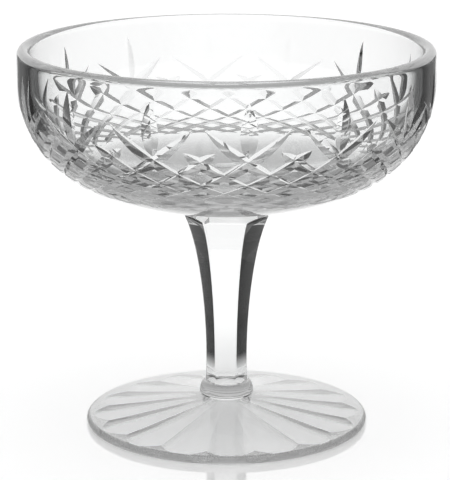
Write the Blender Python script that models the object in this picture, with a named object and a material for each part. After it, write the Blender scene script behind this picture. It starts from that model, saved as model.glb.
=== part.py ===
"""Compote bowl of clear cut glass: a mitre-cut bowl on a six-sided stem, a collar and a star-cut foot.

Metres, +Z up. The origin is the centre of the foot on the table, and -Y is the front.
Angles round the bowl are measured from the front, positive towards +X.
"""
import math

import bmesh
import bpy
from mathutils import Vector

MM = 0.001

# Whole object
RIM_HEIGHT = 142.4 * MM
SEAM = 0.3 * MM  # left between the solids where the glass is fused

# Bowl: a straight wall, a side arc and a base arc that closes on the axis, thick at the bottom
RIM_RADIUS = 76.0 * MM
BOWL_WALL = 4.8 * MM
STRAIGHT_WALL = 13.0 * MM
SIDE_ARC = 40.0 * MM
SIDE_SWEEP = math.radians(66.4)
INSIDE_ARC = 32.0 * MM
INSIDE_SWEEP = math.radians(79.0)
BOWL_SEAT = 9.6 * MM  # flat ground under the bowl for the stem

# Mitre cuts: two families that lean left and right and cross in rows of diamonds
REPEATS = 14
ROWS = 8
PATTERN_TURN = math.radians(5.8)
FIRST_ROW = 29.0 * MM  # length down the outside from the rim to the first row of crossings
MITRE_HALF_ANGLE = math.radians(63.0)
MITRE_DEPTH = 1.3 * MM
MITRE_END_DEPTH = 0.7 * MM
CUT_SLOPE = 0.77  # rise over run of a cut where it crosses the first row
CUT_EASE = 62.5 * MM  # height below that row in which the slope would ease by 1
LONG_ARM = 12.5 * MM  # from the first row up to the tip

# Wedge cuts: one upright spear over every other crossing of the first row
WEDGE_TOP = 7.0 * MM
WEDGE_WAIST = 19.0 * MM
WEDGE_HALF_ANGLE = math.radians(70.0)
WEDGE_DEPTH = 1.17 * MM
PLAIN_BAND = 2.0 * MM  # least plain glass above the wedges and below the diamonds

# Stem: six flat sides, a waist near the foot and a flare towards the bowl
STEM_SIDES = 6
STEM_TURN = math.radians(-3.0)
STEM_WAIST = 7.7 * MM  # radius to the corners at the narrowest place
STEM_SWELL = 6.6 * MM
STEM_FLARE = 1.5 * MM
WAIST_HEIGHT = 9.0 * MM  # above the bottom of the stem
STEM_TOE = 0.2 * MM
HEAD_BEVEL = 3.2 * MM
HEAD_RADIUS = 10.1 * MM

# Collar: a rounded wafer
COLLAR_RADIUS = 10.0 * MM
COLLAR_HEIGHT = 4.8 * MM
COLLAR_BELLY = 1.5 * MM
COLLAR_UNDERCUT = 1.2 * MM
COLLAR_LEDGE = 0.2 * MM

# Foot: a domed disc with a star of tapered flutes ground into the underside
FOOT_RADIUS = 52.5 * MM
FOOT_EDGE = 3.2 * MM
FOOT_CROWN = 10.2 * MM
FOOT_DOME = 1.25  # 1 is a plain cone, more is a hollow curve
SEAT_LEDGE = 0.6 * MM
STAR_POINTS = 16
STAR_TURN = math.radians(-9.3)
FLUTE_RADIUS = 50.0 * MM
FLUTE_RISE = math.radians(7.4)
REST_RING = 1.5 * MM  # least width of the flat that the foot rests on

# Facets
CUT_STEPS = 20
LIP_STEPS = 6
SIDE_STEPS = 8
BASE_STEPS = 4
STEM_RINGS = 18
COLLAR_SEGMENTS = 48
COLLAR_STEPS = 6
TOP_ROWS = 5
FLUTE_ROWS = 5
FLUTE_COLUMNS = 6
SHARP = math.radians(20.0)
WELD = 0.001 * MM


def clear_scene():
    for item in list(bpy.data.objects):
        bpy.data.objects.remove(item, do_unlink=True)


def glass(name):
    material = bpy.data.materials.new(name)
    material.use_nodes = True
    shader = material.node_tree.nodes["Principled BSDF"]
    shader.inputs["Base Color"].default_value = (0.95, 0.96, 0.96, 1.0)
    shader.inputs["Roughness"].default_value = 0.03
    shader.inputs["Metallic"].default_value = 0.0
    shader.inputs["Transmission Weight"].default_value = 1.0
    shader.inputs["IOR"].default_value = 1.54
    return material


def add_object(name, mesh_work):
    mesh = bpy.data.meshes.new(name)
    bmesh.ops.remove_doubles(mesh_work, verts=mesh_work.verts, dist=WELD)
    bmesh.ops.recalc_face_normals(mesh_work, faces=mesh_work.faces)
    mesh_work.to_mesh(mesh)
    mesh_work.free()
    item = bpy.data.objects.new(name, mesh)
    bpy.context.scene.collection.objects.link(item)
    return item


def finish(item):
    item.data.materials.append(glass(item.name + "_glass"))
    item.data.shade_smooth()
    item.data.set_sharp_from_angle(angle=SHARP)


def place(turn, radius, level):
    return Vector((radius * math.sin(turn), -radius * math.cos(turn), level))


def add_turned(work, profile, segments, turn=0.0):
    """Turn (radius, height) points round +Z, starting at an angle from the front."""
    points = [work.verts.new(place(turn, radius, height)) for radius, height in profile]
    edges = [work.edges.new(pair) for pair in zip(points, points[1:])]
    bmesh.ops.spin(work, geom=points + edges, axis=(0, 0, 1), cent=(0, 0, 0),
                   angle=math.tau, steps=segments, use_merge=True)


def turned(name, profile, segments):
    """A solid turned from points that start and end on the axis."""
    work = bmesh.new()
    add_turned(work, profile, segments)
    return add_object(name, work)


def arc(centre, radius, start, end, steps):
    """Points on an arc in the (radius, height) plane; angles from the +radius direction, down positive."""
    angles = [start + (end - start) * step / steps for step in range(steps + 1)]
    return [(centre[0] + radius * math.cos(a), centre[1] - radius * math.sin(a)) for a in angles]


def side_centre():
    return RIM_RADIUS - SIDE_ARC, RIM_HEIGHT - STRAIGHT_WALL


def inside_centre():
    return RIM_RADIUS - BOWL_WALL - INSIDE_ARC, RIM_HEIGHT - STRAIGHT_WALL


def closing_arc(centre, radius, sweep):
    """Radius and centre height of the arc that carries on from a side arc and is centred on the axis."""
    closing = radius + centre[0] / math.cos(sweep)
    return closing, centre[1] + (closing - radius) * math.sin(sweep)


def base_arc():
    return closing_arc(side_centre(), SIDE_ARC, SIDE_SWEEP)


def seat_height():
    radius, height = base_arc()
    return height - math.sqrt(radius ** 2 - BOWL_SEAT ** 2)


def outside(length):
    """Radius, height and outward angle of the bowl's outside at a length down from the rim."""
    if length <= STRAIGHT_WALL:
        return RIM_RADIUS, RIM_HEIGHT - length, 0.0
    side_x, side_z = side_centre()
    turn = (length - STRAIGHT_WALL) / SIDE_ARC
    if turn <= SIDE_SWEEP:
        return side_x + SIDE_ARC * math.cos(turn), side_z - SIDE_ARC * math.sin(turn), turn
    radius, height = base_arc()
    turn = SIDE_SWEEP + (length - STRAIGHT_WALL - SIDE_ARC * SIDE_SWEEP) / radius
    return radius * math.cos(turn), height - radius * math.sin(turn), turn


def on_bowl(turn, length, depth=0.0):
    """A point on the bowl's outside, or sunk into it by a depth."""
    radius, level, tilt = outside(length)
    return place(turn, radius - depth * math.cos(tilt), level + depth * math.sin(tilt))


def half_spacing():
    return math.pi / (2 * REPEATS)


def cut_slope(length):
    below_first_row = outside(FIRST_ROW)[1] - outside(length)[1]
    return CUT_SLOPE - below_first_row / CUT_EASE


def follow_cut(length, turn):
    """Length down the outside that a cut reaches when it goes on round the bowl by an angle."""
    for _ in range(CUT_STEPS):
        length += outside(length)[0] * cut_slope(length) * turn / CUT_STEPS
    return length


def row_lengths():
    """Row 0 is where the short arms end on the long ones, row 1 the first full row of crossings."""
    lengths = [follow_cut(FIRST_ROW, -half_spacing()), FIRST_ROW]
    while len(lengths) <= ROWS:
        lengths.append(follow_cut(lengths[-1], half_spacing()))
    return lengths


def row_depths():
    """Depth of the cuts at each row: they fade up the long arms and at the two lowest rows."""
    arm_share = 1 - (FIRST_ROW - row_lengths()[0]) / LONG_ARM
    shares = [row / (ROWS - 2) for row in range(ROWS - 2)]
    full_rows = [MITRE_DEPTH + (MITRE_END_DEPTH - MITRE_DEPTH) * share * (2 - share) for share in shares]
    return [MITRE_DEPTH * arm_share] + full_rows + [0.0, 0.0]


def add_diamonds(work):
    """Each cell is framed by the roots of four cuts, and its diamond rises inside them."""
    lengths = row_lengths()
    depths = row_depths()
    columns = 4 * REPEATS
    roots = {}
    for row in range(ROWS + 1):
        for column in range((row + 1) % 2, columns, 2):
            turn = PATTERN_TURN + column * half_spacing()
            roots[row, column] = work.verts.new(on_bowl(turn, lengths[row], depths[row]))
    for row in range(1, ROWS):
        cells = []
        for column in range(row % 2, columns, 2):
            left = (column - 1) % columns
            right = (column + 1) % columns
            corners = (row - 1, column), (row, left), (row + 1, column), (row, right)
            cells.append(work.faces.new([roots[corner] for corner in corners]))
        depth = (depths[row - 1] + 2 * depths[row] + depths[row + 1]) / 4
        work.normal_update()
        bmesh.ops.inset_individual(work, faces=cells, depth=depth, use_even_offset=True,
                                   thickness=depth * math.tan(MITRE_HALF_ANGLE))


def upper_points(turn, side):
    """Named points of half a repeat above the first row, from a long crossing to the next short one."""
    half = half_spacing()
    meeting = row_lengths()[0]
    meeting_depth = row_depths()[0]
    above = MITRE_DEPTH * math.tan(MITRE_HALF_ANGLE) / math.cos(math.atan(CUT_SLOPE))
    beside = above * meeting_depth / MITRE_DEPTH / CUT_SLOPE / RIM_RADIUS
    crossing_top = FIRST_ROW - above
    tip = FIRST_ROW - LONG_ARM
    tip_turn = LONG_ARM / cut_slope((tip + FIRST_ROW) / 2) / RIM_RADIUS
    wedge_turn = WEDGE_DEPTH * math.tan(WEDGE_HALF_ANGLE) / RIM_RADIUS
    wall = (WEDGE_TOP + tip) / 2
    points = {
        "long_root": (0, FIRST_ROW, MITRE_DEPTH),
        "short_root": (2 * half, FIRST_ROW, MITRE_DEPTH),
        "meeting_root": (half, meeting, meeting_depth),
        "meeting_side": (half + beside, meeting, 0),
        "meeting_top": (half - beside, meeting, 0),
        "long_top": (0, crossing_top, 0),
        "short_top": (2 * half, crossing_top, 0),
        "tip": (tip_turn, tip, 0),
        "wedge_top": (0, WEDGE_TOP, 0),
        "wedge_root": (0, WEDGE_WAIST, WEDGE_DEPTH),
        "wedge_side": (wedge_turn, WEDGE_WAIST, 0),
        "between_tips": (2 * half, (tip + crossing_top) / 2, 0),
    }
    for quarter in range(5):
        points[f"band_{quarter}"] = (quarter * half / 2, WEDGE_TOP - PLAIN_BAND, 0)
        points[f"wall_{quarter}"] = (quarter * half / 2, wall, 0)
    return {name: on_bowl(turn + side * spot[0], spot[1], spot[2]) for name, spot in points.items()}


UPPER_FACES = (
    # walls of the long arm, the short arm and the wedge
    ("long_root", "meeting_root", "meeting_top", "long_top"),
    ("meeting_root", "tip", "meeting_top"),
    ("meeting_root", "meeting_side", "tip"),
    ("short_root", "short_top", "meeting_side", "meeting_root"),
    ("wedge_top", "wedge_root", "wedge_side"),
    ("wedge_root", "long_top", "wedge_side"),
    # plain glass round them
    ("band_0", "wedge_top", "band_1"),
    ("band_1", "wedge_top", "wall_1"),
    ("band_1", "wall_1", "wall_2", "band_2"),
    ("band_2", "wall_2", "wall_3", "band_3"),
    ("band_3", "wall_3", "wall_4", "band_4"),
    ("wedge_top", "wedge_side", "wall_1"),
    ("wall_1", "wedge_side", "wall_2"),
    ("wall_2", "wedge_side", "tip"),
    ("wedge_side", "long_top", "meeting_top"),
    ("wedge_side", "meeting_top", "tip"),
    ("wall_2", "tip", "wall_3"),
    ("wall_3", "tip", "wall_4"),
    ("tip", "between_tips", "wall_4"),
    ("tip", "meeting_side", "between_tips"),
    ("meeting_side", "short_top", "between_tips"),
)


def add_arms_and_wedges(work):
    for repeat in range(REPEATS):
        for side in (1, -1):
            points = upper_points(PATTERN_TURN + repeat * 4 * half_spacing(), side)
            for names in UPPER_FACES:
                work.faces.new([work.verts.new(points[name]) for name in names])


def add_lip_and_inside(work):
    """From the middle of the inside up the wall, over the round lip and down to the plain band."""
    lip = BOWL_WALL / 2
    dish_radius, dish_height = closing_arc(inside_centre(), INSIDE_ARC, INSIDE_SWEEP)
    in_base = arc((0.0, dish_height), dish_radius, math.pi / 2, INSIDE_SWEEP, BASE_STEPS)
    in_side = arc(inside_centre(), INSIDE_ARC, INSIDE_SWEEP, 0.0, SIDE_STEPS)
    over_lip = arc((RIM_RADIUS - lip, RIM_HEIGHT - lip), lip, -math.pi, 0.0, LIP_STEPS)
    band = outside(WEDGE_TOP - PLAIN_BAND)[:2]
    add_turned(work, in_base + in_side[1:] + over_lip + [band], 8 * REPEATS, PATTERN_TURN)


def add_base(work):
    """From the lowest diamonds in to the flat seat."""
    lengths = row_lengths()
    columns = 4 * REPEATS
    start = lengths[-1] + PLAIN_BAND
    for column in range(columns):
        turns = [PATTERN_TURN + (column + ahead) * half_spacing() for ahead in (0, 1)]
        lowest = [lengths[ROWS if (column + ahead + ROWS) % 2 else ROWS - 1] for ahead in (0, 1)]
        corners = (turns[0], lowest[0]), (turns[1], lowest[1]), (turns[1], start), (turns[0], start)
        work.faces.new([work.verts.new(on_bowl(*corner)) for corner in corners])
    base_radius = base_arc()[0]
    base_sweep = math.acos(BOWL_SEAT / base_radius) - SIDE_SWEEP
    end = STRAIGHT_WALL + SIDE_ARC * SIDE_SWEEP + base_radius * base_sweep
    run = [outside(start + (end - start) * step / BASE_STEPS)[:2] for step in range(BASE_STEPS + 1)]
    add_turned(work, run + [(0.0, seat_height())], columns, PATTERN_TURN)


def make_bowl():
    work = bmesh.new()
    add_diamonds(work)
    add_arms_and_wedges(work)
    add_lip_and_inside(work)
    add_base(work)
    finish(add_object("bowl", work))


def stem_bottom():
    return FOOT_CROWN + SEAM + COLLAR_HEIGHT + SEAM


def stem_top():
    return seat_height() - SEAM


def stem_radius(height):
    """Radius to the stem's corners: a long curve out of the waist and a last flare under the head."""
    waist = stem_bottom() + WAIST_HEIGHT
    crease = stem_top() - HEAD_BEVEL
    if height < waist:
        share = (waist - height) / WAIST_HEIGHT
        return STEM_WAIST + STEM_TOE * share ** 2
    share = (height - waist) / (crease - waist)
    return STEM_WAIST + STEM_SWELL * share ** 2 + STEM_FLARE * share ** 8


def make_stem():
    crease = stem_top() - HEAD_BEVEL
    rise = (crease - stem_bottom()) / STEM_RINGS
    levels = [stem_bottom() + rise * ring for ring in range(STEM_RINGS + 1)]
    outline = [(stem_radius(level), level) for level in levels] + [(HEAD_RADIUS, stem_top())]
    work = bmesh.new()
    loops = []
    for radius, level in outline:
        angles = [STEM_TURN + side * math.tau / STEM_SIDES for side in range(STEM_SIDES)]
        loops.append([work.verts.new((radius * math.cos(a), radius * math.sin(a), level)) for a in angles])
    for lower, upper in zip(loops, loops[1:]):
        for side in range(STEM_SIDES):
            ahead = (side + 1) % STEM_SIDES
            work.faces.new((lower[side], lower[ahead], upper[ahead], upper[side]))
    work.faces.new(loops[0][::-1])
    work.faces.new(loops[-1])
    finish(add_object("stem", work))


def make_collar():
    bottom = FOOT_CROWN + SEAM
    top = bottom + COLLAR_HEIGHT
    shoulder = STEM_WAIST + STEM_TOE + COLLAR_LEDGE
    belly = bottom + COLLAR_BELLY
    quarter = [math.pi / 2 * step / COLLAR_STEPS for step in range(COLLAR_STEPS + 1)]
    upper = [(shoulder + (COLLAR_RADIUS - shoulder) * math.sin(a), belly + (top - belly) * math.cos(a))
             for a in quarter]
    lower = [(COLLAR_RADIUS - COLLAR_UNDERCUT * (1 - math.cos(a)), belly - COLLAR_BELLY * math.sin(a))
             for a in quarter]
    profile = [(0.0, top)] + upper + lower[1:] + [(0.0, bottom)]
    finish(turned("collar", profile, COLLAR_SEGMENTS))


def flute_end():
    return FOOT_RADIUS - FOOT_EDGE / 2 - REST_RING


def flute_height(radius, swing):
    """Height of the underside in a flute, at an angle off the flute's middle."""
    along = radius * math.cos(swing)
    across = radius * math.sin(swing)
    return (flute_end() - along) * math.tan(FLUTE_RISE) - across ** 2 / (2 * FLUTE_RADIUS)


def flute_reach(swing):
    """Radius at which the flute runs out on the resting ring."""
    drop = flute_end() * math.tan(FLUTE_RISE)
    slope = math.cos(swing) * math.tan(FLUTE_RISE)
    bend = 2 * math.sin(swing) ** 2 * drop / FLUTE_RADIUS
    return 2 * drop / (slope + math.sqrt(slope ** 2 + bend))


def foot_profile(swing):
    """Outline of the foot from the middle of its top, round the edge, to the middle of its underside."""
    seat = COLLAR_RADIUS - COLLAR_UNDERCUT + SEAT_LEDGE
    edge = FOOT_EDGE / 2
    shoulder = FOOT_RADIUS - edge
    top = []
    for row in range(TOP_ROWS):
        share = row / TOP_ROWS
        rise = (FOOT_CROWN - FOOT_EDGE) * (1 - share) ** FOOT_DOME
        top.append((seat + (shoulder - seat) * share, FOOT_EDGE + rise))
    rim = arc((shoulder, edge), edge, -math.pi / 2, math.pi / 2, LIP_STEPS)
    reach = flute_reach(swing)
    star = [(reach, 0.0)]
    for row in range(1, FLUTE_ROWS + 1):
        radius = reach * (1 - row / FLUTE_ROWS)
        star.append((radius, flute_height(radius, swing)))
    return [(0.0, FOOT_CROWN)] + top + rim + star


def make_foot():
    work = bmesh.new()
    columns = STAR_POINTS * FLUTE_COLUMNS
    rings = []
    for column in range(columns):
        turn = STAR_TURN + column * math.tau / columns
        swing = (column % FLUTE_COLUMNS / FLUTE_COLUMNS - 0.5) * math.tau / STAR_POINTS
        rings.append([work.verts.new(place(turn, *point)) for point in foot_profile(swing)])
    for ring, following in zip(rings, rings[1:] + rings[:1]):
        for row in range(len(ring) - 1):
            work.faces.new((ring[row], following[row], following[row + 1], ring[row + 1]))
    finish(add_object("foot", work))


clear_scene()
make_bowl()
make_stem()
make_collar()
make_foot()
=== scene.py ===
import math

import bmesh
import bpy
from mathutils import Matrix, Vector


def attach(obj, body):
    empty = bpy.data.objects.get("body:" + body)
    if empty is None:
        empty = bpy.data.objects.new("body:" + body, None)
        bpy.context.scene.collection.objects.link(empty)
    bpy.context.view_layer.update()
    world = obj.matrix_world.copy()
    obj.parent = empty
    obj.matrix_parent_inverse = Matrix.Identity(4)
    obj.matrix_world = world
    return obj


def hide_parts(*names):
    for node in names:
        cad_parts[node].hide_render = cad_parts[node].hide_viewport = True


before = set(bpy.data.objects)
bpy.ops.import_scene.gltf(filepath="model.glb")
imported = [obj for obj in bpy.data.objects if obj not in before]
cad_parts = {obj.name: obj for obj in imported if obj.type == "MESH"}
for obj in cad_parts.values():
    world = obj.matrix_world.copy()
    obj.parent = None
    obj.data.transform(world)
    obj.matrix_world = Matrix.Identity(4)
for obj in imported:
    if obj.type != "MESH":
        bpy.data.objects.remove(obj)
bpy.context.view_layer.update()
mm = 0.001
print("frame loaded:", ", ".join(sorted(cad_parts)))

photoView = {
    "distance": 842.6 * mm,  # in front of the stem's axis
    "height": 283.66 * mm,
    "pitch": 14.264,  # degrees down
    "sensor": 36.0,
    "lens": 176.257,
    "shift": -1.5 / 480,
}


def setCamera():
    data = bpy.data.cameras.new("photoCamera")
    data.sensor_width = photoView["sensor"]
    data.lens = photoView["lens"]
    data.shift_x = photoView["shift"]
    camera = bpy.data.objects.new("photoCamera", data)
    camera.location = (0.0, -photoView["distance"], photoView["height"])
    camera.rotation_euler = (math.radians(90.0 - photoView["pitch"]), 0.0, 0.0)
    bpy.context.scene.collection.objects.link(camera)
    bpy.context.scene.camera = camera


setCamera()
bpy.context.scene.view_settings.view_transform = "Standard"
print("camera set")


# shared helpers

aboutAxis = {"axis": (0, 0, 1), "cent": (0, 0, 0)}
weld = 0.002 * mm  # points closer than this become one
levelSlack = 0.01 * mm  # heights closer than this count as the same


def place(turn, radius, level):  # turn is measured from the front, positive to the right
    return Vector((radius * math.sin(turn), -radius * math.cos(turn), level))


def evenSteps(start, end, steps):
    return [start + (end - start) * i / steps for i in range(steps + 1)]


def arcPoints(centre, radius, start, end, steps):
    turns = evenSteps(start, end, steps)
    return [(centre[0] + radius * math.cos(t), centre[1] - radius * math.sin(t)) for t in turns]


def linePoints(start, end, steps):
    return list(zip(evenSteps(start[0], end[0], steps), evenSteps(start[1], end[1], steps)))


def everything(work):
    return work.verts[:] + work.edges[:] + work.faces[:]


def spinProfile(points, segments, turn=0.0):
    work = bmesh.new()
    verts = [work.verts.new(place(turn, radius, level)) for radius, level in points]
    edges = [work.edges.new(pair) for pair in zip(verts, verts[1:])]
    bmesh.ops.spin(work, geom=verts + edges, angle=math.tau, steps=segments, use_merge=True, **aboutAxis)
    return work


def toObject(name, work):
    bmesh.ops.remove_doubles(work, verts=work.verts, dist=weld)
    bmesh.ops.recalc_face_normals(work, faces=work.faces)
    mesh = bpy.data.meshes.new(name)
    work.to_mesh(mesh)
    work.free()
    item = bpy.data.objects.new(name, mesh)
    bpy.context.scene.collection.objects.link(item)
    return item


def smoothShade(item, sharpDegrees):
    item.data.shade_smooth()
    item.data.set_sharp_from_angle(angle=math.radians(sharpDegrees))


# materials

def feed(tree, socket, value):
    if isinstance(value, float):
        socket.default_value = value
    else:
        tree.links.new(value, socket)


def mathNode(tree, operation, *values):
    node = tree.nodes.new("ShaderNodeMath")
    node.operation = operation
    for socket, value in zip(node.inputs, values):
        feed(tree, socket, value)
    return node.outputs[0]


def product(tree, first, *others):
    for other in others:
        first = mathNode(tree, "MULTIPLY", first, other)
    return first


def rangeNode(tree, value, fromEdges, toEdges):
    node = tree.nodes.new("ShaderNodeMapRange")
    node.interpolation_type = "SMOOTHSTEP"
    node.inputs["From Min"].default_value, node.inputs["From Max"].default_value = fromEdges
    node.inputs["To Min"].default_value, node.inputs["To Max"].default_value = toEdges
    tree.links.new(value, node.inputs["Value"])
    return node.outputs["Result"]


def bandNode(tree, value, edges):  # 1 between the two middle edges, 0 outside the outer ones
    rise = rangeNode(tree, value, edges[:2], (0.0, 1.0))
    fall = rangeNode(tree, value, edges[2:], (1.0, 0.0))
    return product(tree, rise, fall)


def blendNode(tree, share, first, second):
    node = tree.nodes.new("ShaderNodeMix")
    for socket, value in zip(node.inputs[:1] + node.inputs[2:4], (share, first, second)):
        feed(tree, socket, value)
    return node.outputs[0]


def lengthNode(tree, x, y):
    return mathNode(tree, "SQRT", mathNode(tree, "ADD", product(tree, x, x), product(tree, y, y)))


def splitNode(tree, spot):
    node = tree.nodes.new("ShaderNodeSeparateXYZ")
    tree.links.new(spot, node.inputs[0])
    return node.outputs


def spotNode(tree, kind):
    return tree.nodes.new("ShaderNodeTexCoord").outputs[kind]


def noiseNode(tree, spot, scale, detail, size=1.0):
    stretch = tree.nodes.new("ShaderNodeMapping")
    stretch.inputs["Scale"].default_value = scale
    tree.links.new(spot, stretch.inputs["Vector"])
    noise = tree.nodes.new("ShaderNodeTexNoise")
    noise.inputs["Scale"].default_value = size
    noise.inputs["Detail"].default_value = detail
    tree.links.new(stretch.outputs["Vector"], noise.inputs["Vector"])
    return noise.outputs["Fac"]


def newFinish(name):
    material = bpy.data.materials.new(name)
    material.use_nodes = True
    return material, material.node_tree, material.node_tree.nodes["Principled BSDF"].inputs


glassSize = {
    "colour": (0.985, 0.99, 0.99, 1.0),
    "density": 1.54,
    "waveScale": 55.0,  # slow waves left by hand polishing
    "waveStretch": (1.0, 1.0, 0.3),
    "waveDetail": 1.0,
    "waveHeight": 0.05 * mm,
    "polishSpread": (0.45, 0.75),
    "polish": (0.0, 0.012),
    "scratchScale": (900.0, 900.0, 60.0),
    "scratchDetail": 3.0,
    "scratchSpread": (0.35, 0.65),
    "wearTop": 0.5 * mm,  # the resting ring is rubbed dull up to here
    "wear": (0.08, 0.32),
}


def clearGlass():
    material, tree, sockets = newFinish("clearGlass")
    sockets["Base Color"].default_value = glassSize["colour"]
    sockets["IOR"].default_value = glassSize["density"]
    sockets["Transmission Weight"].default_value = 1.0
    spot = spotNode(tree, "Object")
    waves = noiseNode(tree, spot, glassSize["waveStretch"], glassSize["waveDetail"], glassSize["waveScale"])
    bump = tree.nodes.new("ShaderNodeBump")
    bump.inputs["Strength"].default_value = 1.0
    bump.inputs["Distance"].default_value = glassSize["waveHeight"]
    tree.links.new(waves, bump.inputs["Height"])
    tree.links.new(bump.outputs["Normal"], sockets["Normal"])
    polish = rangeNode(tree, waves, glassSize["polishSpread"], glassSize["polish"])
    scratches = noiseNode(tree, spot, glassSize["scratchScale"], glassSize["scratchDetail"])
    rubbed = rangeNode(tree, scratches, glassSize["scratchSpread"], glassSize["wear"])
    height = splitNode(tree, spot)["Z"]
    low = rangeNode(tree, height, (0.0, glassSize["wearTop"]), (1.0, 0.0))
    tree.links.new(blendNode(tree, low, polish, rubbed), sockets["Roughness"])
    return material


def fusedJoint():  # where the glass is one with the next piece there is no surface to see
    material, tree, sockets = newFinish("fusedJoint")
    sockets["Alpha"].default_value = 0.0
    return material


glassFinish = clearGlass()
jointFinish = fusedJoint()
print("glass ready")


def dress(item, node, joints):  # joints: the height of each flat joint and how far out it goes
    item.data.materials.clear()
    item.data.materials.append(glassFinish)
    item.data.materials.append(jointFinish)
    for face in item.data.polygons:
        face.material_index = 0
        for level, reach in joints:
            if abs(face.center.z - level) < levelSlack and face.center.xy.length < reach:
                face.material_index = 1
    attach(item, "root")
    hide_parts(node)


# bowl

bowlSize = {
    "rim": 76.0 * mm,
    "height": 142.4 * mm,
    "wall": 4.8 * mm,
    "straight": 13.0 * mm,
    "sideArc": 40.0 * mm,
    "sweep": math.radians(66.4),
    "insideArc": 32.0 * mm,  # tighter than outside, so the bottom is thick
    "insideSweep": math.radians(79.0),
    "seat": 9.6 * mm,
    "joint": 8.6 * mm,
    "columns": 12,  # in half a repeat of the cutting
    "spare": 1.5,  # columns more at both ends, trimmed off later
    "rowStep": 1.3 * mm,
    "wallRows": 8,
    "lipRows": 24,
    "smooth": 15.0,  # degrees
}

cutSize = {
    "repeats": 14,
    "turn": math.radians(5.8),
    "firstRow": 29.0 * mm,  # down the outside from the rim
    "lastRow": 57.0 * mm,
    "halfAngle": math.radians(63.0),
    "depth": 1.3 * mm,
    "endDepth": 0.7 * mm,
    "runOut": 0.3,  # how steeply a cut leaves the glass below the last row
    "pastEnd": 3.0 * mm,
    "slope": 0.77,
    "ease": 16.0,  # how much the slope eases per metre of height below the first row
    "longArm": 12.5 * mm,
    "shortArm": 4.4 * mm,
    "leftTrim": 0.06 * mm,  # the left-hand cuts are this much shallower
    "lift": 0.35 * mm,  # how far the cutter stands out of the glass
    "stations": 44,
    "turnSteps": 24,
    "sectorSlack": 0.1,
}

wedgeSize = {
    "top": 7.0 * mm,
    "waist": 19.0 * mm,
    "bottom": 27.8 * mm,
    "pastTop": 1.0 * mm,
    "pastBottom": 0.8 * mm,
    "halfAngle": math.radians(70.0),
    "depth": 1.17 * mm,
    "lift": 0.35 * mm,
    "stations": 24,
}

leastDepth = -0.8  # of the cutter's lift, so that its section never closes


def sideCentre():
    return bowlSize["rim"] - bowlSize["sideArc"], bowlSize["height"] - bowlSize["straight"]


def baseArc():
    sweep = bowlSize["sweep"]
    radius = bowlSize["sideArc"] + sideCentre()[0] / math.cos(sweep)
    return radius, sideCentre()[1] + (radius - bowlSize["sideArc"]) * math.sin(sweep)


def seatHeight():
    radius, level = baseArc()
    return level - math.sqrt(radius ** 2 - bowlSize["seat"] ** 2)


def outside(length):  # radius, height and tilt that far down the outside from the rim
    straight, side = bowlSize["straight"], bowlSize["sideArc"]
    if length <= straight:
        return bowlSize["rim"], bowlSize["height"] - length, 0.0
    tilt = (length - straight) / side
    if tilt <= bowlSize["sweep"]:
        x, z = sideCentre()
        return x + side * math.cos(tilt), z - side * math.sin(tilt), tilt
    radius, level = baseArc()
    tilt = bowlSize["sweep"] + (length - straight - side * bowlSize["sweep"]) / radius
    return radius * math.cos(tilt), level - radius * math.sin(tilt), tilt


def insideRun():  # from the middle of the floor up to the lip
    rim, wall, step = bowlSize["rim"], bowlSize["wall"], bowlSize["rowStep"]
    bend, swing = bowlSize["insideArc"], bowlSize["insideSweep"]
    centre = (rim - wall - bend, bowlSize["height"] - bowlSize["straight"])
    dish = bend + centre[0] / math.cos(swing)
    dishLevel = centre[1] + (dish - bend) * math.sin(swing)
    rows = round(dish * (math.pi / 2 - swing) / step)
    base = arcPoints((0.0, dishLevel), dish, math.pi / 2, swing, rows)
    side = arcPoints(centre, bend, swing, 0.0, round(bend * swing / step))
    top = bowlSize["height"] - wall / 2
    upright = linePoints((rim - wall, centre[1]), (rim - wall, top), bowlSize["wallRows"])
    return base + side[1:] + upright[1:]


def outsideRun():  # from the lip down to the seat of the stem
    radius, lip = baseArc()[0], bowlSize["wall"] / 2
    end = bowlSize["straight"] + bowlSize["sideArc"] * bowlSize["sweep"]
    end += radius * (math.acos(bowlSize["seat"] / radius) - bowlSize["sweep"])
    lengths = evenSteps(lip, end, round((end - lip) / bowlSize["rowStep"]))
    return [outside(length)[:2] for length in lengths[1:]]


def bowlProfile():
    lip = bowlSize["wall"] / 2
    middle = (bowlSize["rim"] - lip, bowlSize["height"] - lip)
    overLip = arcPoints(middle, lip, -math.pi, 0.0, bowlSize["lipRows"])
    seat = [(bowlSize["joint"], seatHeight()), (0.0, seatHeight())]
    return insideRun() + overLip[1:] + outsideRun() + seat


def cutSlope(length):
    below = outside(cutSize["firstRow"])[1] - outside(length)[1]
    return cutSize["slope"] - cutSize["ease"] * below


def cutTurn(length):  # how far round a cut has gone when it is that far down
    step = (length - cutSize["firstRow"]) / cutSize["turnSteps"]
    turn = 0.0
    for i in range(cutSize["turnSteps"]):
        at = cutSize["firstRow"] + step * (i + 0.5)
        turn += step / (outside(at)[0] * cutSlope(at))
    return turn


def mitreDepth(length, arm, trim):
    first, last, deep = cutSize["firstRow"], cutSize["lastRow"], cutSize["depth"] - trim
    if length < first:
        rise = (length - first + arm) / arm
        return deep * (rise * (2.0 - rise) if rise > 0.0 else 2.0 * rise)
    fade = (length - first) / (last - first)
    if fade <= 1.0:
        return deep + (cutSize["endDepth"] - cutSize["depth"]) * fade * (2.0 - fade)
    return cutSize["endDepth"] - trim - (length - last) * cutSize["runOut"]


def wedgeDepth(length):
    top, waist, bottom = wedgeSize["top"], wedgeSize["waist"], wedgeSize["bottom"]
    span = waist - top if length < waist else bottom - waist
    share = abs(length - waist) / span
    return wedgeSize["depth"] * (1.0 - share ** 2 if share < 1.0 else 2.0 - 2.0 * share)


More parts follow.
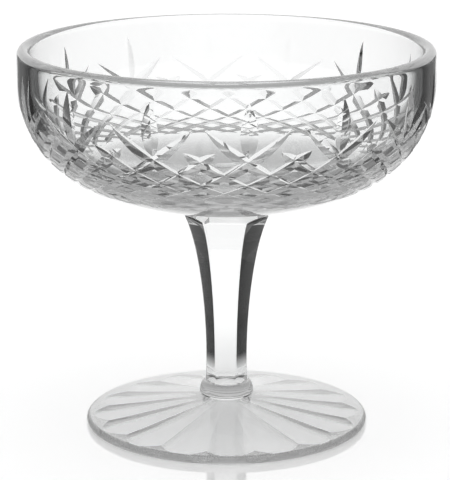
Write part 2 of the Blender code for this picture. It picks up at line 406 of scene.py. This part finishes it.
def veeSection(turn, length, heading, depth, size):
    radius, level, tilt = outside(length)
    around = Vector((math.cos(turn), math.sin(turn), 0.0))
    away = place(turn, math.cos(tilt), -math.sin(tilt))
    down = place(turn, -math.sin(tilt), -math.cos(tilt))
    along = around * math.cos(heading) + down * math.sin(heading)
    lift = size["lift"]
    depth = max(depth, leastDepth * lift)
    spot = place(turn, radius, level)
    reach = away.cross(along) * (depth + lift) * math.tan(size["halfAngle"])
    return spot - away * depth, spot + away * lift + reach, spot + away * lift - reach


def sweepCutter(name, runs):  # runs: for each cut, its list of three-point sections
    work = bmesh.new()
    for run in runs:
        cap = work.faces.new([work.verts.new(spot) for spot in run[0]])
        for section in run[1:]:
            cap = bmesh.ops.extrude_discrete_faces(work, faces=[cap])["faces"][0]
            for vert, spot in zip(cap.verts, section):
                vert.co = spot
    bmesh.ops.holes_fill(work, edges=work.edges, sides=3)
    return toObject(name, work)


def mitreRuns(lean, trim):
    runs = []
    spacing = math.pi / cutSize["repeats"]
    slack = cutSize["sectorSlack"]
    end = cutSize["lastRow"] + cutSize["pastEnd"]
    for cut in range(-cutSize["repeats"], cutSize["repeats"] + 1):
        arm = cutSize["longArm"] if cut % 2 == 0 else cutSize["shortArm"]
        start = cutSize["firstRow"] - arm - cutSize["lift"] * arm / cutSize["depth"] / 2
        lengths = evenSteps(start, end, cutSize["stations"])
        turns = [cut * spacing + lean * cutTurn(length) for length in lengths]
        if max(turns) < -slack or min(turns) > spacing + slack:
            continue  # it doesn't reach the sector
        run = []
        for length, turn in zip(lengths, turns):
            slant = math.atan(cutSlope(length))
            heading = slant if lean > 0 else math.pi - slant
            run.append(veeSection(turn, length, heading, mitreDepth(length, arm, trim), cutSize))
        runs.append(run)
    return runs


def wedgeRuns():
    start, end = wedgeSize["top"] - wedgeSize["pastTop"], wedgeSize["bottom"] + wedgeSize["pastBottom"]
    lengths = evenSteps(start, end, wedgeSize["stations"])
    return [[veeSection(0.0, length, math.pi / 2, wedgeDepth(length), wedgeSize) for length in lengths]]


def bowlSector():  # half a repeat of the cutting, and a little more at both ends
    column = math.pi / cutSize["repeats"] / bowlSize["columns"]
    start = -bowlSize["spare"] * column
    steps = round(bowlSize["columns"] + 2 * bowlSize["spare"])
    work = bmesh.new()
    cap = work.faces.new([work.verts.new(place(start, *point)) for point in bowlProfile()])
    bmesh.ops.spin(work, geom=[cap], angle=steps * column, steps=steps, **aboutAxis)
    return toObject("cutBowl", work)


def carve(body, cutters):
    for cutter in cutters:
        cut = body.modifiers.new(cutter.name, "BOOLEAN")
        cut.object = cutter
        cut.operation = "DIFFERENCE"
        cut.solver = "MANIFOLD"
    work = bmesh.new()
    work.from_object(body, bpy.context.evaluated_depsgraph_get())
    for item in cutters + [body]:
        bpy.data.objects.remove(item)
    return work


def repeatRound(work):  # trim the sector on its two mirror planes, mirror it and go round with it
    half = math.pi / cutSize["repeats"]
    for turn, way in ((0.0, -1.0), (half, 1.0)):
        bmesh.ops.bisect_plane(work, geom=everything(work), dist=weld / 2, plane_co=(0, 0, 0),
                               plane_no=place(turn + math.pi / 2, way, 0.0), clear_outer=True)
    bmesh.ops.mirror(work, geom=everything(work), axis="X", merge_dist=weld)
    bmesh.ops.spin(work, geom=everything(work), angle=math.tau - 2.0 * half, steps=cutSize["repeats"] - 1,
                   use_duplicate=True, **aboutAxis)
    turned = Matrix.Rotation(cutSize["turn"], 3, "Z")
    bmesh.ops.rotate(work, verts=work.verts, cent=(0, 0, 0), matrix=turned)


def makeBowl():
    cutters = [
        sweepCutter("rightMitres", mitreRuns(1, 0.0)),
        sweepCutter("leftMitres", mitreRuns(-1, cutSize["leftTrim"])),
        sweepCutter("wedges", wedgeRuns()),
    ]
    work = carve(bowlSector(), cutters)
    repeatRound(work)
    bowl = toObject("cutBowl", work)
    smoothShade(bowl, bowlSize["smooth"])
    dress(bowl, "bowl", [(seatHeight(), bowlSize["joint"])])
    print("bowl:", len(bowl.data.vertices), "points")


makeBowl()


# stem

stemSize = {
    "sides": 6,
    "turn": math.radians(-3.0),
    "bottom": 15.6 * mm,
    "waist": 7.7 * mm,
    "swell": 6.6 * mm,
    "flare": 1.5 * mm,
    "waistHeight": 9.0 * mm,
    "toe": 0.2 * mm,
    "headBevel": 3.2 * mm,
    "head": 10.1 * mm,
    "joint": 20.0 * mm,  # both ends are joined right across
    "rings": 60,
    "edge": 0.5 * mm,
    "edgeSteps": 5,
    "edgeRound": 0.5,
    "upright": 0.1 * mm,  # an edge that climbs more than this is a corner
    "smooth": 25.0,
}


def stemRadius(level, crease):
    waist = stemSize["bottom"] + stemSize["waistHeight"]
    if level < waist:
        return stemSize["waist"] + stemSize["toe"] * ((waist - level) / stemSize["waistHeight"]) ** 2
    share = (level - waist) / (crease - waist)
    return stemSize["waist"] + stemSize["swell"] * share ** 2 + stemSize["flare"] * share ** 8


def isCorner(edge, crease):  # the six upright corners and the crease below the head
    first, second = (vert.co.z for vert in edge.verts)
    return abs(first - second) > stemSize["upright"] or abs(first + second - 2 * crease) < levelSlack


def makeStem():
    top = seatHeight()
    crease = top - stemSize["headBevel"]
    levels = evenSteps(stemSize["bottom"], crease, stemSize["rings"])
    outline = [(stemRadius(level, crease), level) for level in levels] + [(stemSize["head"], top)]
    work = spinProfile(outline, stemSize["sides"], math.pi / 2 + stemSize["turn"])
    bmesh.ops.holes_fill(work, edges=[edge for edge in work.edges if edge.is_boundary], sides=0)
    bmesh.ops.recalc_face_normals(work, faces=work.faces)
    corners = [edge for edge in work.edges if isCorner(edge, crease)]
    bmesh.ops.bevel(work, geom=corners, offset=stemSize["edge"], offset_type="OFFSET", affect="EDGES",
                    segments=stemSize["edgeSteps"], profile=stemSize["edgeRound"], material=-1,
                    clamp_overlap=True)
    stem = toObject("facetedStem", work)
    smoothShade(stem, stemSize["smooth"])
    dress(stem, "stem", [(top, stemSize["joint"]), (stemSize["bottom"], stemSize["joint"])])
    print("stem:", len(stem.data.vertices), "points")


makeStem()


# collar

collarSize = {
    "bottom": 10.2 * mm,
    "top": 15.6 * mm,
    "radius": 10.0 * mm,
    "shoulder": 8.1 * mm,
    "belly": 1.5 * mm,
    "undercut": 1.2 * mm,
    "topJoint": 7.3 * mm,
    "lowJoint": 8.6 * mm,
    "segments": 128,
    "quarterSteps": 14,
    "smooth": 30.0,
}


def makeCollar():
    radius, shoulder, under = collarSize["radius"], collarSize["shoulder"], collarSize["undercut"]
    bottom, top = collarSize["bottom"], collarSize["top"]
    belly = bottom + collarSize["belly"]
    quarter = evenSteps(0.0, math.pi / 2, collarSize["quarterSteps"])
    upper = [(shoulder + (radius - shoulder) * math.sin(a), belly + (top - belly) * math.cos(a))
             for a in quarter]
    lower = [(radius - under * (1.0 - math.cos(a)), belly - (belly - bottom) * math.sin(a))
             for a in quarter]
    profile = [(0.0, top), (collarSize["topJoint"], top)] + upper + lower[1:]
    profile += [(collarSize["lowJoint"], bottom), (0.0, bottom)]
    collar = toObject("collarRing", spinProfile(profile, collarSize["segments"]))
    smoothShade(collar, collarSize["smooth"])
    dress(collar, "collar", [(top, collarSize["topJoint"]), (bottom, collarSize["lowJoint"])])
    print("collar:", len(collar.data.vertices), "points")


makeCollar()


# foot

footSize = {
    "radius": 52.5 * mm,
    "edge": 3.2 * mm,
    "crown": 10.2 * mm,
    "dome": 1.25,  # 1 is a plain cone, more is a hollow curve
    "seat": 9.4 * mm,
    "joint": 8.6 * mm,
    "points": 16,
    "turn": math.radians(-9.3),
    "fluteRadius": 50.0 * mm,
    "fluteRise": math.radians(7.4),
    "restRing": 1.5 * mm,
    "columns": 24,  # for each flute
    "rows": 40,
    "edgeSteps": 30,
    "smooth": 7.0,
}


def fluteEnd():
    return footSize["radius"] - footSize["edge"] / 2 - footSize["restRing"]


def fluteHeight(radius, swing):
    along, across = radius * math.cos(swing), radius * math.sin(swing)
    rise = (fluteEnd() - along) * math.tan(footSize["fluteRise"])
    return rise - across ** 2 / (2 * footSize["fluteRadius"])


def fluteReach(swing):  # how far out a flute comes down to the table
    rise = math.tan(footSize["fluteRise"])
    drop = fluteEnd() * rise
    slope = math.cos(swing) * rise
    bend = 2 * math.sin(swing) ** 2 * drop / footSize["fluteRadius"]
    return 2 * drop / (slope + math.sqrt(slope ** 2 + bend))


def footTop():
    edge, crown, seat, rows = footSize["edge"], footSize["crown"], footSize["seat"], footSize["rows"]
    shoulder = footSize["radius"] - edge / 2
    points = [(0.0, crown), (footSize["joint"], crown)]
    for i in range(rows):
        share = i / rows
        level = edge + (crown - edge) * (1.0 - share) ** footSize["dome"]
        points.append((seat + (shoulder - seat) * share, level))
    half = edge / 2
    return points + arcPoints((shoulder, half), half, -math.pi / 2, math.pi / 2, footSize["edgeSteps"])


def liftFlute(vert):  # its distance from the axis is its share of the flute's reach
    share = vert.co.xy.length
    turn = math.atan2(vert.co.x, -vert.co.y) - footSize["turn"]
    swing = (turn * footSize["points"] / math.tau) % 1.0
    swing = (swing - 0.5) * math.tau / footSize["points"]
    radius = share * fluteReach(swing)
    if share > 0.0:
        vert.co.xy *= radius / share
    vert.co.z = fluteHeight(radius, swing)


def makeFoot():
    sunk = -1.0  # rows under the foot are spun flat below it, then lifted into the flutes
    under = [(share, sunk) for share in evenSteps(1.0, 0.0, footSize["rows"])]
    work = spinProfile(footTop() + under, footSize["points"] * footSize["columns"], footSize["turn"])
    bmesh.ops.remove_doubles(work, verts=work.verts, dist=weld)
    for vert in work.verts:
        if vert.co.z == sunk:
            liftFlute(vert)
    foot = toObject("starFoot", work)
    smoothShade(foot, footSize["smooth"])
    dress(foot, "foot", [(footSize["crown"], footSize["joint"])])
    print("foot:", len(foot.data.vertices), "points")


makeFoot()


# table and light

studio = {
    "tableSize": 4.0,
    "tableWhite": 0.9,
    "tableGap": 0.05 * mm,
    "tableGloss": 0.06,
    "tableDensity": 2.5,
    "tableLift": 0.35,  # added where the camera sees the table, so that it reads as white
    "glassLift": (0.42, 0.55),  # the same through the glass, weaker under the foot as painted shade and stronger away from it
    "liftEdge": (0.06, 0.2),
    "insideTurns": (1.0, 5.0),  # light reflected that often inside the glass finds these greys, painted shade on the table and in the sky
    "paintedInsideShade": (0.52, 0.36),
    "farInside": 0.7,  # and less of that painted grey far off on the table
    "nearEdge": (0.2, 0.35),
    "sideInside": 0.1,  # and much less of the painted grey to the sides, after one reflection
    "sideEdge": (0.4, 0.75),
    "flagStart": 0.3,  # two dark strips of painted shade on the far table, seen only through the bowl and the foot
    "flagTurns": tuple(math.radians(turn) for turn in (19.0, 26.0, 72.0, 82.0)),
    "flagPaintedDark": 0.06,
    "flagInside": 0.65,  # how much of a strip is left in reflections inside the glass
    "stemFlagStart": (0.045, 0.09),  # nearer strips of painted shade, seen only by way of the stem
    "stemFlagTurns": tuple(math.radians(turn) for turn in (27.0, 34.0, 72.0, 82.0)),
    "stemFlagFront": 0.5,
    "stemShine": 0.6,  # how much of these painted shade strips is left in reflections off the stem
    "stemReach": (-0.02, 0.035),  # light of the stem leaves the glass this near to the axis
    "stemMiddle": 0.07,
    "wallRadius": 3.8,  # the painted shade strips go on up a far black wall
    "wallEnds": (-0.01, 4.0),
    "wallSteps": 180,
    "wallShadeBlack": (0.02, 0.02, 0.02, 1.0),
    "ringEdges": (0.06, 0.09, 0.17, 0.24),  # a greyer ring of painted shadow on the table, seen only through the glass
    "ringShadowDark": 0.35,
    "backEdge": (0.9, 0.975),  # cosine of the turn off the back where the bright backdrop ends
    "backTop": (0.6, 0.7),
    "skyDark": 0.03,
    "skyBack": 1.0,
    "skyTop": 1.6,
    "topEdge": (0.75, 0.9),
    "lowSky": (0.3, 0.45),  # up to here the sky is white at the front, seen through the glass
    "frontEdge": (0.05, 0.35),
    "bounces": 28,
}

counts = {  # between whole numbers of reflections, or of surfaces passed
    "none": 0.5,
    "one": 1.5,
    "two": 2.5,
    "three": 3.5,
}


def lightPath(tree):
    return tree.nodes.new("ShaderNodeLightPath").outputs


def insideGlass(tree, path):  # 1 for light that was reflected inside the glass before it came here
    reflected = mathNode(tree, "MINIMUM", path["Glossy Depth"], 1.0)
    return product(tree, reflected, path["Is Transmission Ray"])


def straightThrough(tree, path):  # 1 for light that has gone straight through one thickness of glass
    early = mathNode(tree, "LESS_THAN", path["Transmission Depth"], counts["two"])
    straight = mathNode(tree, "LESS_THAN", path["Glossy Depth"], counts["none"])
    return product(tree, path["Is Transmission Ray"], early, straight)


def outsideShine(tree, path):  # 1 for light reflected once off the outside of the glass
    first = mathNode(tree, "LESS_THAN", path["Transmission Depth"], counts["none"])
    once = mathNode(tree, "LESS_THAN", path["Glossy Depth"], counts["one"])
    return product(tree, path["Is Glossy Ray"], first, once)


def stemShadeStrips(tree, path, x, y, distance):  # painted shade, dark to both sides of the back, greyer at the front
    turn = mathNode(tree, "ARCTAN2", mathNode(tree, "ABSOLUTE", x), mathNode(tree, "ABSOLUTE", y))
    share = blendNode(tree, mathNode(tree, "LESS_THAN", y, 0.0), 1.0, studio["stemFlagFront"])
    left = mathNode(tree, "SUBTRACT", distance, path["Ray Length"])  # how far out the light left the glass
    low, high = studio["stemReach"]
    near = product(tree, mathNode(tree, "GREATER_THAN", left, low), mathNode(tree, "LESS_THAN", left, high))
    shine = product(tree, outsideShine(tree, path), studio["stemShine"])
    seen = mathNode(tree, "MAXIMUM", straightThrough(tree, path), shine)
    return product(tree, bandNode(tree, turn, studio["stemFlagTurns"]), share, near, seen)


# painted shade: light reflected inside the glass finds a grey, darker after more reflections and darker
# still to the sides after one
def paintedInsideShade(tree, path, x, flat):
    often = path["Glossy Depth"]
    sideways = mathNode(tree, "ABSOLUTE", mathNode(tree, "DIVIDE", x, flat))
    side = product(tree, rangeNode(tree, sideways, studio["sideEdge"], (0.0, 1.0)),
                   mathNode(tree, "LESS_THAN", often, counts["one"]))
    insideShadeLevel = rangeNode(tree, often, studio["insideTurns"], studio["paintedInsideShade"])
    return product(tree, insideShadeLevel, rangeNode(tree, side, (0.0, 1.0), (1.0, studio["sideInside"])))


# painted shade: dark strips on the far table, seen only through the glass and in its reflections
def paintedSideFlags(tree, path, x, y, distance):
    turn = mathNode(tree, "ABSOLUTE", mathNode(tree, "ARCTAN2", x, y))
    far = mathNode(tree, "GREATER_THAN", distance, studio["flagStart"])
    seen = mathNode(tree, "MAXIMUM", path["Is Transmission Ray"], path["Is Glossy Ray"])
    thick = mathNode(tree, "SUBTRACT", 1.0, straightThrough(tree, path))
    few = mathNode(tree, "LESS_THAN", path["Glossy Depth"], counts["one"])
    fade = blendNode(tree, insideGlass(tree, path), 1.0, studio["flagInside"])
    return product(tree, bandNode(tree, turn, studio["flagTurns"]), far, seen, thick, few, fade)


def tableShade(tree, path, x, y, distance):  # what the painted shade of the flag strips, shadow ring and stem strips leaves of the white
    flagShade = blendNode(tree, paintedSideFlags(tree, path, x, y, distance), 1.0, studio["flagPaintedDark"])
    # painted shadow: a greyer ring round the foot, seen after passing four glass surfaces
    ring = product(tree, bandNode(tree, distance, studio["ringEdges"]),
                   mathNode(tree, "GREATER_THAN", path["Transmission Depth"], counts["three"]))
    strips = product(tree, stemShadeStrips(tree, path, x, y, distance),
                     rangeNode(tree, distance, studio["stemFlagStart"], (0.0, 1.0)))
    return product(tree, flagShade, blendNode(tree, ring, 1.0, studio["ringShadowDark"]),
                   mathNode(tree, "SUBTRACT", 1.0, strips))


def whiteTable():
    material, tree, sockets = newFinish("whiteTable")
    sockets["Roughness"].default_value = studio["tableGloss"]
    sockets["IOR"].default_value = studio["tableDensity"]
    sockets["Emission Color"].default_value = (1.0, 1.0, 1.0, 1.0)
    path = lightPath(tree)
    tree.links.new(path["Is Camera Ray"], sockets["Specular IOR Level"])  # matt through the glass
    x, y, z = splitNode(tree, spotNode(tree, "Object"))
    distance = lengthNode(tree, x, y)
    shade = tableShade(tree, path, x, y, distance)
    inside = insideGlass(tree, path)
    white = blendNode(tree, inside, studio["tableWhite"], 0.0)
    tree.links.new(product(tree, white, shade), sockets["Base Color"])
    # painted shade: light reflected inside the glass finds only this grey glow on the table, weaker far off
    insideShadeLevel = product(tree, paintedInsideShade(tree, path, x, distance),
                   rangeNode(tree, distance, studio["nearEdge"], (1.0, studio["farInside"])))
    # painted shade: the glow seen through the glass is weaker under the foot
    lift = rangeNode(tree, distance, studio["liftEdge"], studio["glassLift"])
    lift = blendNode(tree, path["Is Camera Ray"], lift, studio["tableLift"])
    lift = blendNode(tree, path["Is Diffuse Ray"], lift, 0.0)
    lift = blendNode(tree, inside, lift, insideShadeLevel)
    tree.links.new(product(tree, lift, shade), sockets["Emission Strength"])
    return material


def makeTable():
    work = bmesh.new()
    bmesh.ops.create_grid(work, x_segments=1, y_segments=1, size=studio["tableSize"])
    bmesh.ops.translate(work, vec=(0.0, 0.0, -studio["tableGap"]), verts=work.verts)
    table = toObject("table", work)
    table.data.materials.append(whiteTable())


def wallShadeStrips():
    material, tree, sockets = newFinish("wallShadeStrips")
    sockets["Base Color"].default_value = studio["wallShadeBlack"]
    sockets["Roughness"].default_value = 1.0
    sockets["Specular IOR Level"].default_value = 0.0
    path = lightPath(tree)
    x, y, z = splitNode(tree, spotNode(tree, "Object"))
    rise = mathNode(tree, "SUBTRACT", z, studio["stemMiddle"])
    square = mathNode(tree, "ADD", studio["wallRadius"] ** 2, product(tree, rise, rise))
    distance = mathNode(tree, "SQRT", square)
    tree.links.new(stemShadeStrips(tree, path, x, y, distance), sockets["Alpha"])
    return material


def makeWall():
    upright = [(studio["wallRadius"], level) for level in studio["wallEnds"]]
    wall = toObject("wall", spinProfile(upright, studio["wallSteps"]))
    wall.data.materials.append(wallShadeStrips())
    # a black sheet of painted shade, seen only through the glass
    wall.visible_camera = False
    wall.visible_diffuse = False
    wall.visible_glossy = False
    wall.visible_shadow = False


def skyLevel(tree, path):
    x, y, z = splitNode(tree, spotNode(tree, "Generated"))
    flat = lengthNode(tree, x, y)
    depth = mathNode(tree, "DIVIDE", y, flat)
    back = product(tree, rangeNode(tree, depth, studio["backEdge"], (0.0, 1.0)),
                   rangeNode(tree, z, studio["backTop"], (1.0, 0.0)))
    sides = rangeNode(tree, back, (0.0, 1.0), (studio["skyDark"], studio["skyBack"]))
    top = rangeNode(tree, z, studio["topEdge"], (0.0, studio["skyTop"]))
    through = path["Is Transmission Ray"]
    front = product(tree, through, rangeNode(tree, depth, studio["frontEdge"], (1.0, 0.0)))
    front = mathNode(tree, "MAXIMUM", front, straightThrough(tree, path))
    low = product(tree, rangeNode(tree, z, studio["lowSky"], (1.0, 0.0)), front)
    mirrored = mathNode(tree, "SUBTRACT", path["Is Glossy Ray"], through)  # sees a white sky all over
    level = mathNode(tree, "MAXIMUM", mathNode(tree, "MAXIMUM", sides, top),
                     mathNode(tree, "MAXIMUM", low, mirrored))
    # light reflected inside the glass finds the painted inside shade instead of the sky
    level = blendNode(tree, insideGlass(tree, path), level, paintedInsideShade(tree, path, x, flat))
    return mathNode(tree, "MAXIMUM", level, path["Is Camera Ray"])


def setLight():
    world = bpy.data.worlds.new("studio")
    world.use_nodes = True
    tree = world.node_tree
    tree.links.new(skyLevel(tree, lightPath(tree)), tree.nodes["Background"].inputs["Color"])
    scene = bpy.context.scene
    scene.world = world
    scene.cycles.max_bounces = studio["bounces"]
    scene.cycles.transmission_bounces = studio["bounces"]
    scene.cycles.glossy_bounces = studio["bounces"]


makeTable()
makeWall()
setLight()
print("table and light set")
